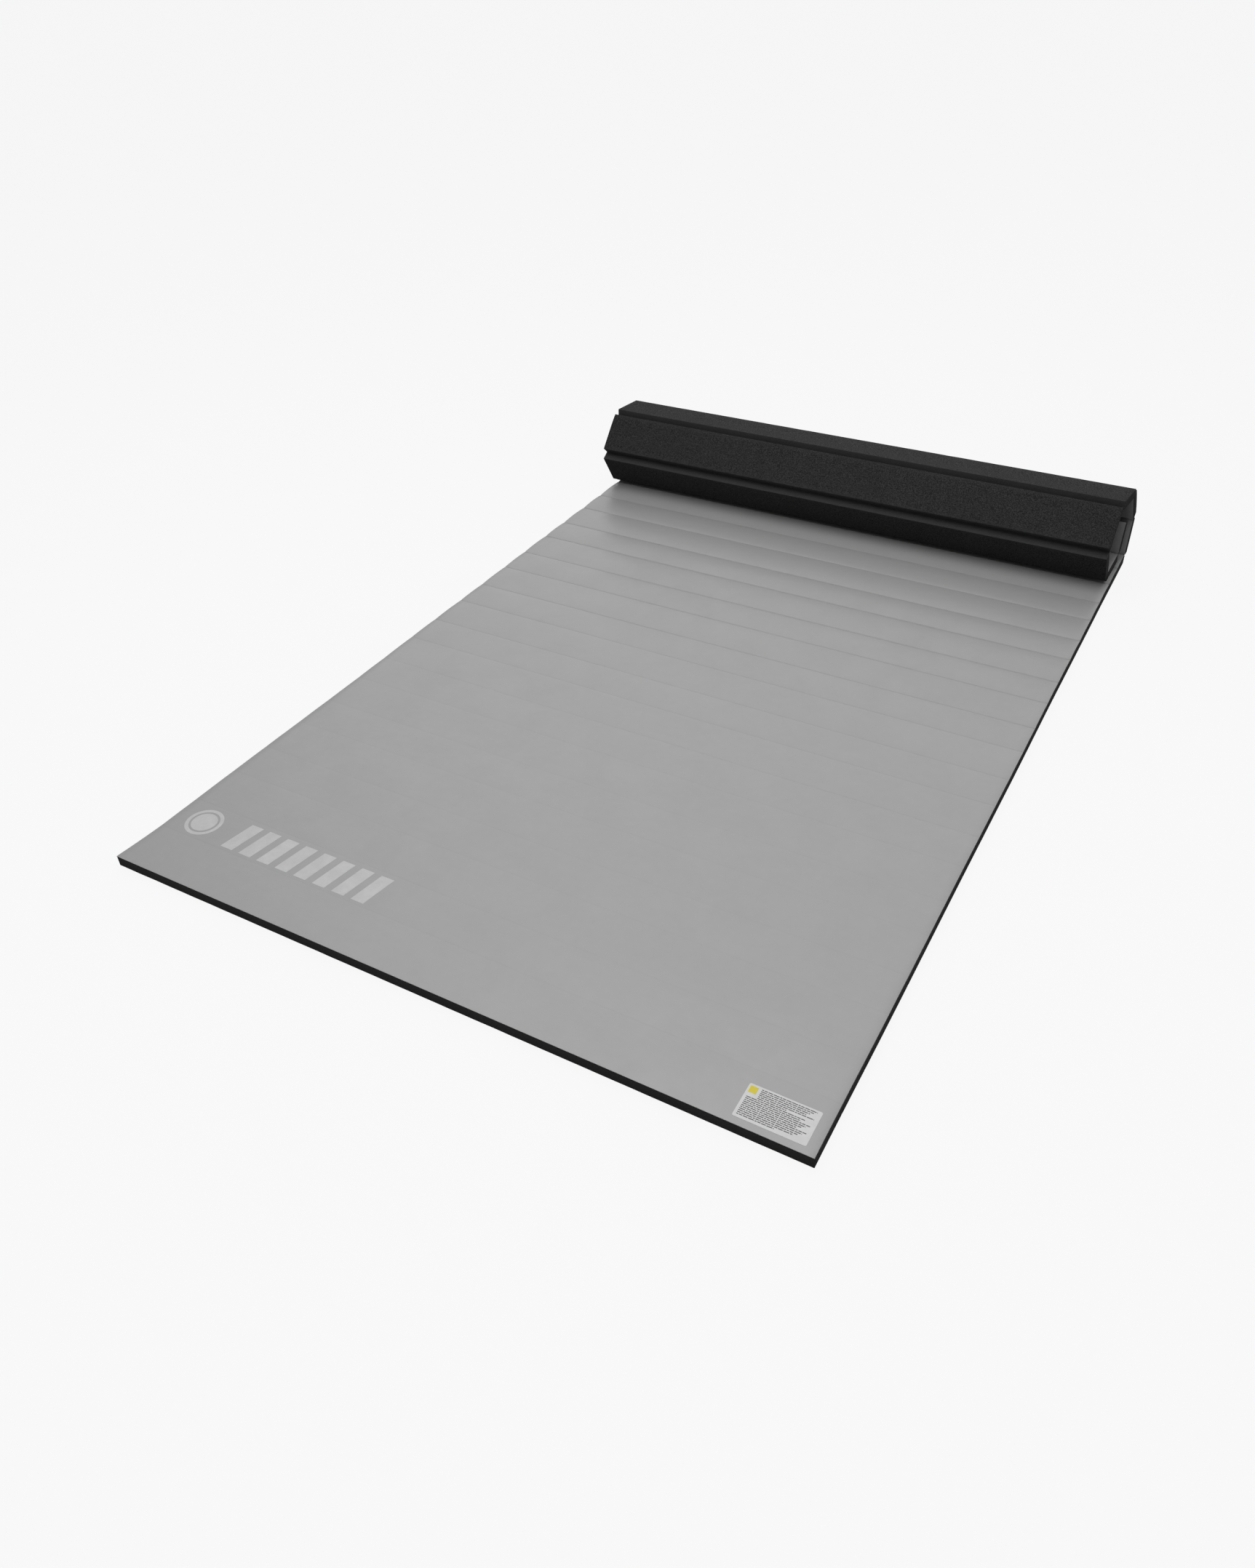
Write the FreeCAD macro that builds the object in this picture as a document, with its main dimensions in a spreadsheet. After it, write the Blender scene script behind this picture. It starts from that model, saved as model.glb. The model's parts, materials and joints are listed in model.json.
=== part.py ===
import FreeCAD, Part
import Sketcher
import math
import os

# Roll-out training mat, partly unrolled.
#
# A smooth vinyl sheet is bonded on top of a closed-cell foam layer. The foam is cut through from below, right
# across the mat, into slats, so the vinyl is the hinge between each slat and the next. Most slats lie flat, and
# the last seven stand at the far end as a loose roll with the vinyl inside.
#
# Frame: X across the mat, +Y from the near end towards the roll, +Z up, the floor at Z = 0, and the origin under
# the middle of the whole object. Every slat is made in its own frame: X = 0 on the mat's centre line, Y = 0 on
# the crease at its near side, Z = 0 on the vinyl's upper surface, so a slat turns about its own origin.

FLAT_SLATS = 21
ROLLED_SLATS = 7
SLATS = FLAT_SLATS + ROLLED_SLATS

# alias, value in mm or degrees, what it is
DIMENSIONS = [
    ("mat_width", 1524.0, "across the mat, X"),
    ("foam_thickness", 24.4, "foam slats"),
    ("vinyl_thickness", 1.0, "top sheet"),
    ("first_pitch", 116.4, "near end to the first crease"),
    ("narrow_pitch", 101.8, "crease to crease, even slats"),
    ("wide_pitch", 114.3, "crease to crease, odd slats"),
    ("under_roll_pitch", 92.0, "the last flat slat, which the roll hides"),
    ("score_gap", 0.6, "width of the cut between two slats"),
    ("edge_round", 1.5, "worn lower edges of the foam"),
    ("turn_one", 84.7, "bend at the crease where the roll leaves the floor"),
    ("turn_two", 41.2, "bend between the roll's first and second slats"),
    ("turn_three", 51.9, "bend at the top of the roll's back"),
    ("turn_four", 49.9, "bend at the top of the roll's front"),
    ("turn_five", 73.3, "bend at the roll's front"),
    ("turn_six", 62.3, "bend where the roll meets the flat slats"),
    ("turn_seven", 96.7, "bend at the last slat, inside the roll"),
    ("print_thickness", 0.2, "ink film of the corner print"),
    ("print_height", 82.0, "along Y"),
    ("print_near_gap", 8.0, "from the crease to the print"),
    ("disc_radius", 41.0, "round part of the print"),
    ("disc_centre", 74.0, "from the mat's left edge to the disc's centre"),
    ("bar_start", 160.0, "from the mat's left edge to the first bar"),
    ("bar_pitch", 49.0, "bar to bar"),
    ("bar_width", 37.0, "along X"),
    ("label_thickness", 0.2, "stuck-on care label"),
    ("label_width", 128.0, "along X"),
    ("label_height", 72.0, "along Y"),
    ("label_corner", 6.0, "corner radius"),
    ("label_side_gap", 22.0, "from the mat's right edge"),
    ("label_near_gap", 14.0, "from the mat's near end"),
]
TURNS = ["turn_one", "turn_two", "turn_three", "turn_four", "turn_five", "turn_six", "turn_seven"]
PRINT_BARS = 8
PRINT_SLAT = 2
LABEL_SLAT = 1

doc = FreeCAD.newDocument("rollout_mat")


def make_sheet():
    """The driving dimensions, one alias per row."""
    sheet = doc.addObject("Spreadsheet::Sheet", "Dimensions")
    for row, (alias, value, note) in enumerate(DIMENSIONS, start=1):
        sheet.set(f"A{row}", str(value))
        sheet.setAlias(f"A{row}", alias)
        sheet.set(f"B{row}", note)
    doc.recompute()
    return sheet


sheet = make_sheet()


def size(alias):
    """A driving dimension's value."""
    return float(sheet.get(alias))


def pitch_alias(number):
    """Which pitch slat `number` (1 at the near end) has: narrow and wide in turn after the first one."""
    if number == 1:
        return "first_pitch"
    if number == FLAT_SLATS:
        return "under_roll_pitch"
    return "narrow_pitch" if number % 2 == 0 else "wide_pitch"


def slat_frames():
    """(y, z, heading in degrees) of each slat's crease and direction, with the near end at y = 0."""
    frames = []
    y = 0.0
    z = size("foam_thickness") + size("vinyl_thickness")
    heading = 0.0
    for number in range(1, SLATS + 1):
        if number > FLAT_SLATS:
            heading += size(TURNS[number - FLAT_SLATS - 1])
        frames.append((y, z, heading))
        y += size(pitch_alias(number)) * math.cos(math.radians(heading))
        z += size(pitch_alias(number)) * math.sin(math.radians(heading))
    return frames


def placement(frame):
    """The Placement of a slat's frame."""
    y, z, heading = frame
    return FreeCAD.Placement(FreeCAD.Vector(0, y, z), FreeCAD.Rotation(FreeCAD.Vector(1, 0, 0), heading))


def farthest_reach(frames):
    """The largest y that any slat's corner has."""
    half_gap = size("score_gap") / 2
    thickness = size("foam_thickness") + size("vinyl_thickness")
    corners = []
    for number, frame in enumerate(frames, start=1):
        for along in (half_gap, size(pitch_alias(number)) - half_gap):
            for down in (0.0, -thickness):
                corners.append(placement(frame).multVec(FreeCAD.Vector(0, along, down)).y)
    return max(corners)


def place_all():
    """Every slat's Placement, with the origin under the middle of the whole mat."""
    frames = slat_frames()
    middle = (size("score_gap") / 2 + farthest_reach(frames)) / 2
    return [placement((y - middle, z, heading)) for y, z, heading in frames]


def origin_plane(body, role):
    """One of a body's own origin planes, such as YZ_Plane."""
    return next(f for f in body.Origin.OriginFeatures if f.Role == role)


def rectangle_sketch(body, name, plane, width, height):
    """A constrained rectangle with one corner on the plane's origin; width and height are sheet expressions."""
    sketch = body.newObject("Sketcher::SketchObject", name)
    sketch.AttachmentSupport = [(origin_plane(body, plane), "")]
    sketch.MapMode = "FlatFace"
    corners = [FreeCAD.Vector(0, 0, 0), FreeCAD.Vector(10, 0, 0), FreeCAD.Vector(10, 10, 0), FreeCAD.Vector(0, 10, 0)]
    for start, end in zip(corners, corners[1:] + corners[:1]):
        sketch.addGeometry(Part.LineSegment(start, end))
    for line in range(4):
        sketch.addConstraint(Sketcher.Constraint("Coincident", line, 2, (line + 1) % 4, 1))
        sketch.addConstraint(Sketcher.Constraint("Vertical" if line % 2 else "Horizontal", line))
    sketch.addConstraint(Sketcher.Constraint("Coincident", 0, 1, -1, 1))
    across = sketch.addConstraint(Sketcher.Constraint("DistanceX", 0, 1, 0, 2, 10.0))
    up = sketch.addConstraint(Sketcher.Constraint("DistanceY", 1, 1, 1, 2, 10.0))
    sketch.setExpression(f"Constraints[{across}]", width)
    sketch.setExpression(f"Constraints[{up}]", height)
    return sketch


def padded_slab(name, plane, width, height, length, symmetric=False):
    """A PartDesign body: a rectangle on one of its origin planes, padded by length."""
    body = doc.addObject("PartDesign::Body", name)
    body.Label = name
    pad = body.newObject("PartDesign::Pad", name + "_pad")
    pad.Profile = rectangle_sketch(body, name + "_outline", plane, width, height)
    pad.setExpression("Length", length)
    if symmetric:
        pad.SideType = "Symmetric"
    doc.recompute()
    return body, pad


def round_edges(body, pad, radius, wanted):
    """Fillets the pad's edges for which wanted(edge) is true."""
    edges = [f"Edge{i}" for i, edge in enumerate(pad.Shape.Edges, start=1) if wanted(edge)]
    fillet = body.newObject("PartDesign::Fillet", body.Label + "_rounding")
    fillet.Base = (pad, edges)
    fillet.setExpression("Radius", radius)
    body.Tip = fillet


def in_slat(number, across, along, up):
    """The Placement of a piece that starts at (across, along, up) in a slat's own frame."""
    return slat_places[number - 1].multiply(FreeCAD.Placement(FreeCAD.Vector(across, along, up), FreeCAD.Rotation()))


def make_foam_slat(number):
    """One block of foam, as wide as the mat, with its two lower long edges worn round."""
    piece_depth = f"Dimensions.{pitch_alias(number)} - Dimensions.score_gap"
    body, pad = padded_slab(
        f"foam_slat_{number:02d}", "YZ_Plane", piece_depth, "Dimensions.foam_thickness", "Dimensions.mat_width", True
    )
    round_edges(body, pad, "Dimensions.edge_round", lambda edge: edge.BoundBox.YLength + edge.BoundBox.ZMax < 1e-6)
    drop = size("foam_thickness") + size("vinyl_thickness")
    body.Placement = in_slat(number, 0, size("score_gap") / 2, -drop)
    return body


def make_vinyl_panel(number):
    """The stretch of the top sheet that is bonded to one slat."""
    name = f"vinyl_panel_{number:02d}"
    panel = doc.addObject("Part::Box", name)
    panel.Label = name
    panel.setExpression("Length", "Dimensions.mat_width")
    panel.setExpression("Width", f"Dimensions.{pitch_alias(number)} - Dimensions.score_gap")
    panel.setExpression("Height", "Dimensions.vinyl_thickness")
    panel.Placement = in_slat(number, -size("mat_width") / 2, size("score_gap") / 2, -size("vinyl_thickness"))
    return panel


def make_corner_print():
    """A plain disc and a row of plain bars, printed on the second slat near the left-hand corner."""
    disc = doc.addObject("Part::Cylinder", "print_disc")
    disc.setExpression("Radius", "Dimensions.disc_radius")
    disc.setExpression("Height", "Dimensions.print_thickness")
    disc.Placement.Base = FreeCAD.Vector(size("disc_centre"), size("disc_radius"), 0)
    shapes = [disc]
    for index in range(PRINT_BARS):
        bar = doc.addObject("Part::Box", f"print_bar_{index + 1}")
        bar.setExpression("Length", "Dimensions.bar_width")
        bar.setExpression("Width", "Dimensions.print_height")
        bar.setExpression("Height", "Dimensions.print_thickness")
        bar.Placement.Base = FreeCAD.Vector(size("bar_start") + index * size("bar_pitch"), 0, 0)
        shapes.append(bar)
    group = doc.addObject("Part::Compound", "corner_print")
    group.Label = "corner_print"
    group.Links = shapes
    group.Placement = in_slat(PRINT_SLAT, -size("mat_width") / 2, size("print_near_gap"), 0)
    return group


def make_care_label():
    """A thin sticker with rounded corners near the right-hand corner of the first slat."""
    body, pad = padded_slab(
        "care_label", "XY_Plane", "Dimensions.label_width", "Dimensions.label_height", "Dimensions.label_thickness"
    )
    round_edges(body, pad, "Dimensions.label_corner", lambda edge: edge.BoundBox.ZLength > 1e-6)
    across = size("mat_width") / 2 - size("label_side_gap") - size("label_width")
    body.Placement = in_slat(LABEL_SLAT, across, size("label_near_gap"), 0)
    return body


def check_and_export(pieces):
    """Stops on any failed object or shape, then writes each piece to its own file."""
    doc.recompute()
    for item in doc.Objects:
        if "Invalid" in item.State or "Error" in item.State:
            raise RuntimeError(f"{item.Label} failed: {item.State}")
    for piece in pieces:
        if piece.Shape.isNull() or not piece.Shape.isValid():
            raise RuntimeError(f"{piece.Label} has a bad shape")
    os.makedirs("parts", exist_ok=True)
    for piece in pieces:
        piece.Shape.exportStep(f"parts/{piece.Label}.step")


slat_places = place_all()
pieces = [make_foam_slat(number) for number in range(1, SLATS + 1)]
pieces += [make_vinyl_panel(number) for number in range(1, SLATS + 1)]
pieces += [make_corner_print(), make_care_label()]
check_and_export(pieces)

# Where the creases are, for whoever writes the joints
for number, place in enumerate(slat_places, start=1):
    heading = math.degrees(place.Rotation.Angle) * place.Rotation.Axis.x
    print(f"slat {number:02d}: crease y {place.Base.y:.3f} z {place.Base.z:.3f} heading {heading:.2f}")
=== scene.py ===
"""Roll-out gym mat: black foam slats joined by a grey vinyl sheet, its far end still in a loose roll.

Every length is in metres. X runs across the mat, +Y from the near end towards the roll, +Z up. Each slat
is modelled in its own frame (x across, y from its near crease towards its far one, z up from the sheet's
creases) and then turned and moved into place, so that a finished piece's object sits at the origin.
"""

import json
import logging
import math
from dataclasses import dataclass
from enum import Enum

import bmesh
import bpy
from mathutils import Matrix, Vector, noise

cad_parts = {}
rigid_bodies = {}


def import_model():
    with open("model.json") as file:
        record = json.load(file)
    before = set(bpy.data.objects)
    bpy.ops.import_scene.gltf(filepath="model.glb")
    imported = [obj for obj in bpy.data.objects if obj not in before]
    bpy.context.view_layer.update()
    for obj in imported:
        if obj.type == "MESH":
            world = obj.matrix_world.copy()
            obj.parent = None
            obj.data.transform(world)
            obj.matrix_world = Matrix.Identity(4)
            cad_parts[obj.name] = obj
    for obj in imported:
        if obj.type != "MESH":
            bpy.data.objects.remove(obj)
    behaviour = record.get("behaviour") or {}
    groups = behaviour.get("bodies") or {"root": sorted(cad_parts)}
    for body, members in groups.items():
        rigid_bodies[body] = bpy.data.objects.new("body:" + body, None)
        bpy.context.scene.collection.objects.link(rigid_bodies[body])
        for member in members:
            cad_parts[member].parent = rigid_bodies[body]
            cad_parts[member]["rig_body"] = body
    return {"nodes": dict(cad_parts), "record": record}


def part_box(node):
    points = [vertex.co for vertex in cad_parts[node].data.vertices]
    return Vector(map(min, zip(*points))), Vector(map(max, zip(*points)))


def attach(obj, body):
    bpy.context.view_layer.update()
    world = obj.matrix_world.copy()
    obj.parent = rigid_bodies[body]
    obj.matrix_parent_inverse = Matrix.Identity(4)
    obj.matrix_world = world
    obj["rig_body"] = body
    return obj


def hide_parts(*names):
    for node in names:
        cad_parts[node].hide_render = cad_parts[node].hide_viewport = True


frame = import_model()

LOG = logging.getLogger("rollout_mat")
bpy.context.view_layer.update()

BMesh = bmesh.types.BMesh
BMEdge = bmesh.types.BMEdge
BMVert = bmesh.types.BMVert
Material = bpy.types.Material
Node = bpy.types.Node
NodeTree = bpy.types.NodeTree
Object = bpy.types.Object
Socket = bpy.types.NodeSocket
Colour = tuple[float, float, float]

SMOOTH_BELOW = math.radians(38.0)  # faces that meet at less than this angle are shaded as one
SAME_POINT = 1e-6  # points closer than this are one


class Slot(Enum):
    """The record's material slots."""

    FOAM = "foam"
    VINYL = "vinyl"
    INK = "print_ink"
    LABEL = "label"


class Axis(Enum):
    """The directions of a slat's own frame."""

    ACROSS = 0
    ALONG = 1
    UP = 2


class SheetSide(Enum):
    """The material numbers of the sheet's faces."""

    VINYL = 0
    BACKING_SHADE = 1


class LabelPart(Enum):
    """The material numbers of the care label's faces."""

    PAPER = 0
    GREY_INK = 1
    YELLOW_INK = 2


# ----------------------------------------------------------------------------------------- the mat's layout


@dataclass(frozen=True)
class Slat:
    """One slat: where its near crease is and which way it runs.

    Attributes:
        number: 1 at the near end.
        body: the moving body that it belongs to.
        start: its near crease on the sheet's upper surface, as (y, z).
        heading: the direction in which it runs, in radians above +Y.
        pitch: from its near crease to its far one.
        distance: along the mat, from the near end to its near crease.
        far_bend: the largest bend that its far crease ever has, in radians.
    """

    number: int
    body: str
    start: tuple[float, float]
    heading: float
    pitch: float
    distance: float
    far_bend: float

    def matrix(self) -> Matrix:
        """From the slat's own frame to the mat's."""
        y, z = self.start
        return Matrix.Translation((0.0, y, z)) @ Matrix.Rotation(self.heading, 4, "X")


@dataclass(frozen=True)
class MatLayout:
    """The whole mat's sizes, read from the frame.

    Attributes:
        slats: every slat, from the near end.
        half_width: half of the mat's width.
        foam: the foam's thickness.
        vinyl: the sheet's thickness.
        gap: the width of the cut between two slats.
    """

    slats: tuple[Slat, ...]
    half_width: float
    foam: float
    vinyl: float
    gap: float

    def slat_under(self, body: str) -> Slat:
        """The slat of a body that has only one."""
        return next(slat for slat in self.slats if slat.body == body)

    @classmethod
    def from_frame(cls) -> "MatLayout":
        """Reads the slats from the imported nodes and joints.

        Returns:
            The layout. A crease with a joint is where the joint's axis is, and a crease inside one body is
            halfway between its two panels. The last slat's bend is its joint's share of the roll's travel.
        """
        behaviour = frame["record"]["behaviour"]
        joints = {joint["name"]: joint for joint in behaviour["joints"]}
        body_of = {node: body for body, nodes in behaviour["bodies"].items() for node in nodes}
        count = sum(name.startswith("foam_slat_") for name in frame["nodes"])
        low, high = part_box("vinyl_panel_01")
        foam_low, foam_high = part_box("foam_slat_01")
        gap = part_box("vinyl_panel_02")[0].y - high.y
        creases = [(low.y - gap / 2, high.z)]
        bends = []
        for number in range(1, count):
            joint = joints.get(f"crease_{number:02d}")
            if joint is None:
                creases.append((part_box(f"vinyl_panel_{number:02d}")[1].y + gap / 2, high.z))
                bends.append(0.0)
            else:
                creases.append((joint["pos_m"][1], joint["pos_m"][2]))
                bends.append(math.radians(max(abs(limit) for limit in joint["range_deg"])))
        slats: list[Slat] = []
        distance = 0.0
        for number in range(1, count + 1):
            start = creases[number - 1]
            if number < count:
                end = creases[number]
                heading = math.atan2(end[1] - start[1], end[0] - start[0])
                pitch = math.hypot(end[0] - start[0], end[1] - start[1])
                far_bend = bends[number - 1]
            else:
                heading = slats[-1].heading + bends[-1]
                pitch = slats[-2].pitch
                far_bend = 0.0
            body = body_of[f"foam_slat_{number:02d}"]
            slats.append(Slat(number, body, start, heading, pitch, distance, far_bend))
            distance += pitch
        return cls(tuple(slats), high.x, foam_high.z - foam_low.z, high.z - low.z, gap)


@dataclass(frozen=True)
class SurfaceShape:
    """How far the sheet and the foam under it are from flat and straight.

    Attributes:
        half_width: half of the mat's width.
        crown_near: how far the middle of a slat stands above its creases at the near end.
        crown_far: the same beside the roll and in it, where the creases are fresh.
        valley_near: the depth of the narrow valley at a crease at the near end.
        valley_far: the same beside the roll and in it.
        valley_width: how far that valley reaches from the crease.
        valley_curve: how steeply it starts, as the exponent that it falls off with over its width.
        settled: the distance along the mat over which it has settled flat.
        settling: the distance after that over which the creases grow fresh.
        ripple: the height of slow ripples between the creases.
        ripple_scale: how close together the ripples are across the mat and along it, and how much one
            slat's differ from the next's.
        wander: how far the long edges wander from a straight line.
        wander_scale: how close together the wander's turns are, and how much the two edges differ.
        wander_power: how close to the edge the wander stays.
        flare: how far the near left corner stands out.
        flare_reach: how far along the mat the flare fades out.
        flare_power: how soon it fades.
        drift: how far to the left the rolled slats lie, because the roll isn't wound quite straight.
        drift_peak: where the drift is largest, counted in slats from the near end.
        drift_rise: the number of slats over which it grows.
        drift_fall: the number of slats over which it shrinks again, inside the roll.
    """

    half_width: float
    crown_near: float = 0.0003
    crown_far: float = 0.0026
    valley_near: float = 0.00009
    valley_far: float = 0.0008
    valley_width: float = 0.006
    valley_curve: float = 2.2
    settled: float = 0.7
    settling: float = 1.1
    ripple: float = 0.0003
    ripple_scale: tuple[float, float, float] = (6.0, 11.0, 0.37)
    wander: float = 0.0014
    wander_scale: tuple[float, float] = (3.1, 4.0)
    wander_power: int = 6
    flare: float = 0.0075
    flare_reach: float = 0.13
    flare_power: float = 1.6
    drift: float = 0.014
    drift_peak: float = 25.4
    drift_rise: float = 1.4
    drift_fall: float = 3.6

    def freshness(self, slat: Slat) -> float:
        """0 where the mat has settled flat, to 1 where it has just been unrolled."""
        return min(1.0, max(0.0, (slat.distance - self.settled) / self.settling))

    def height(self, slat: Slat, x: float, along: float) -> float:
        """The sheet's height over the line between the slat's creases.

        Args:
            slat: the slat.
            x: across the mat.
            along: from the slat's near crease.

        Returns:
            The height, which is 0 on both creases.
        """
        fresh = self.freshness(slat)
        share = min(1.0, max(0.0, along / slat.pitch))
        arch = 4.0 * share * (1.0 - share)
        crown = self.crown_near + (self.crown_far - self.crown_near) * fresh
        depth = self.valley_near + (self.valley_far - self.valley_near) * fresh
        from_crease = max(0.0, min(along, slat.pitch - along))
        valley = depth * (1.0 - math.exp(-self.valley_curve * from_crease / self.valley_width))
        across_scale, along_scale, slat_step = self.ripple_scale
        place = (x * across_scale, (slat.distance + along) * along_scale, slat.number * slat_step)
        ripple = noise.noise(Vector(place))
        return crown * arch + valley + self.ripple * ripple * arch

    def side_shift(self, slat: Slat, x: float, along: float) -> float:
        """How far a point moves across the mat, which is neither quite straight nor wound quite straight.

        Args:
            slat: the slat.
            x: across the mat, from the centre line.
            along: from the slat's near crease.

        Returns:
            The shift along +X: the drift over the whole width, and the rest only near the edges.
        """
        distance = slat.distance + along
        reach = min(1.0, abs(x) / self.half_width)
        side = 1.0 if x > 0 else -1.0
        along_scale, side_step = self.wander_scale
        shift = self.wander * noise.noise(Vector((distance * along_scale, side * side_step, 0.5)))
        if x < 0:
            shift -= self.flare * max(0.0, 1.0 - distance / self.flare_reach) ** self.flare_power
        from_peak = slat.number + along / slat.pitch - self.drift_peak
        spread = self.drift_rise if from_peak < 0 else self.drift_fall
        return shift * reach**self.wander_power - self.drift * math.exp(-((from_peak / spread) ** 2))


# --------------------------------------------------------------------------------------------- mesh helpers


def edges_along(bm: BMesh, axis: Axis) -> list[BMEdge]:
    """The edges that run along one axis."""
    straight = 0.999
    found = []
    for edge in bm.edges:
        direction = (edge.verts[1].co - edge.verts[0].co).normalized()
        if abs(direction[axis.value]) > straight:
            found.append(edge)
    return found


def bevel(bm: BMesh, edges: list[BMEdge], width: float, segments: int) -> None:
    """Rounds some edges."""
    bmesh.ops.bevel(
        bm,
        geom=edges,
        offset=width,
        offset_type="OFFSET",
        segments=segments,
        profile=0.5,
        affect="EDGES",
        material=-1,
    )


def add_box(bm: BMesh, low: Vector, high: Vector) -> None:
    """Adds a block between two corners."""
    corners = bmesh.ops.create_cube(bm, size=1.0)["verts"]
    bmesh.ops.scale(bm, vec=high - low, verts=corners)
    bmesh.ops.translate(bm, vec=(low + high) / 2, verts=corners)


def box_mesh(low: Vector, high: Vector) -> BMesh:
    """A block between two corners."""
    bm = bmesh.new()
    add_box(bm, low, high)
    return bm


def finish_piece(name: str, bm: BMesh, slat: Slat, finishes: list[Material]) -> Object:
    """Makes a mesh in a slat's own frame into a piece of the mat.

    Args:
        name: the piece's name.
        bm: its mesh, which is used up.
        slat: the slat that it belongs to and rides with.
        finishes: its materials, in the order of the faces' material numbers.

    Returns:
        The piece, with its place in its mesh.
    """
    bmesh.ops.recalc_face_normals(bm, faces=bm.faces)
    bmesh.ops.transform(bm, matrix=slat.matrix(), verts=bm.verts)
    for face in bm.faces:
        face.smooth = True
    mesh = bpy.data.meshes.new(name)
    bm.to_mesh(mesh)
    bm.free()
    mesh.set_sharp_from_angle(angle=SMOOTH_BELOW)
    for finish in finishes:
        mesh.materials.append(finish)
    piece = bpy.data.objects.new(name, mesh)
    bpy.context.scene.collection.objects.link(piece)
    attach(piece, slat.body)
    return piece


# ------------------------------------------------------------------------------------------------- finishes


class NodeTools:
    """Short ways to add and join the nodes of one tree."""

    def __init__(self, tree: NodeTree) -> None:
        """Keeps the tree that the nodes go in."""
        self.tree = tree

    def put(self, socket: Socket, value: object) -> None:
        """Links a socket to an input, or sets the input's own value."""
        if isinstance(value, Socket):
            self.tree.links.new(value, socket)
        else:
            socket.default_value = value

    def add(self, kind: str, inputs: dict[str, object] | None = None, **settings: object) -> Node:
        """Adds a node.

        Args:
            kind: the node's type.
            inputs: values or sockets for its inputs, by name.
            settings: the node's own attributes.

        Returns:
            The node.
        """
        node = self.tree.nodes.new(kind)
        for name, value in settings.items():
            setattr(node, name, value)
        for name, value in (inputs or {}).items():
            self.put(node.inputs[name], value)
        return node

    def math(self, operation: str, first: object, second: object = 0.0) -> Socket:
        """A Math node's result."""
        node = self.add("ShaderNodeMath", operation=operation)
        self.put(node.inputs[0], first)
        self.put(node.inputs[1], second)
        return node.outputs[0]

    def between(self, value: object, low: float, high: float) -> Socket:
        """A value from 0 to 1 spread from low to high."""
        node = self.add("ShaderNodeMapRange", {"Value": value, "To Min": low, "To Max": high})
        return node.outputs["Result"]

    def contrast(self, value: object, low: object, high: object) -> Socket:
        """0 below low, 1 above high."""
        node = self.add("ShaderNodeMapRange", {"Value": value, "From Min": low, "From Max": high})
        return node.outputs["Result"]

    def mix(self, factor: object, first: object, second: object) -> Socket:
        """A mix of two colours."""
        node = self.add("ShaderNodeMix", data_type="RGBA")
        for index, value in ((0, factor), (6, first), (7, second)):
            self.put(node.inputs[index], value)
        return node.outputs[2]

    def toned(self, colour: object, level: Socket) -> Socket:
        """A colour made darker or lighter by a level around 1."""
        node = self.add("ShaderNodeHueSaturation", {"Value": level, "Color": colour})
        return node.outputs["Color"]

    def bump(self, height: Socket, strength: float, distance: float, over: Socket | None = None) -> Socket:
        """The surface's direction, bent by a height.

        Args:
            height: the height, from 0 to 1.
            strength: how much of the effect shows.
            distance: the relief that a height of 1 stands for.
            over: the direction that it bends, if it isn't the surface's own.

        Returns:
            The bent direction.
        """
        inputs: dict[str, object] = {"Height": height, "Strength": strength, "Distance": distance}
        if over is not None:
            inputs["Normal"] = over
        return self.add("ShaderNodeBump", inputs).outputs["Normal"]

    def attribute(self, name: str) -> Socket:
        """A piece's own attribute, from 0 to 1."""
        return self.add("ShaderNodeAttribute", attribute_name=name).outputs["Fac"]


def shade(level: float) -> tuple[float, float, float, float]:
    """A neutral colour."""
    return (level, level, level, 1.0)


class Effect:
    """A shader node group that is made once and placed in any material."""

    def __init__(self, name: str, inputs: dict[str, float | None], outputs: tuple[str, ...]) -> None:
        """Makes the group's sockets.

        Args:
            name: the group's name.
            inputs: each input's default number, or None for a vector.
            outputs: the names of its outputs, which are all numbers.
        """
        self.tree = bpy.data.node_groups.new(name, "ShaderNodeTree")
        for socket_name, default in inputs.items():
            kind = "NodeSocketVector" if default is None else "NodeSocketFloat"
            socket = self.tree.interface.new_socket(socket_name, in_out="INPUT", socket_type=kind)
            if default is not None:
                socket.default_value = default
        for socket_name in outputs:
            self.tree.interface.new_socket(socket_name, in_out="OUTPUT", socket_type="NodeSocketFloat")
        self.tools = NodeTools(self.tree)
        self.given = self.tools.add("NodeGroupInput").outputs
        self.result = self.tools.add("NodeGroupOutput").inputs

    def place(self, tools: NodeTools, inputs: dict[str, object]) -> Node:
        """Puts the group in a material."""
        return tools.add("ShaderNodeGroup", inputs, node_tree=self.tree)


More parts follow.
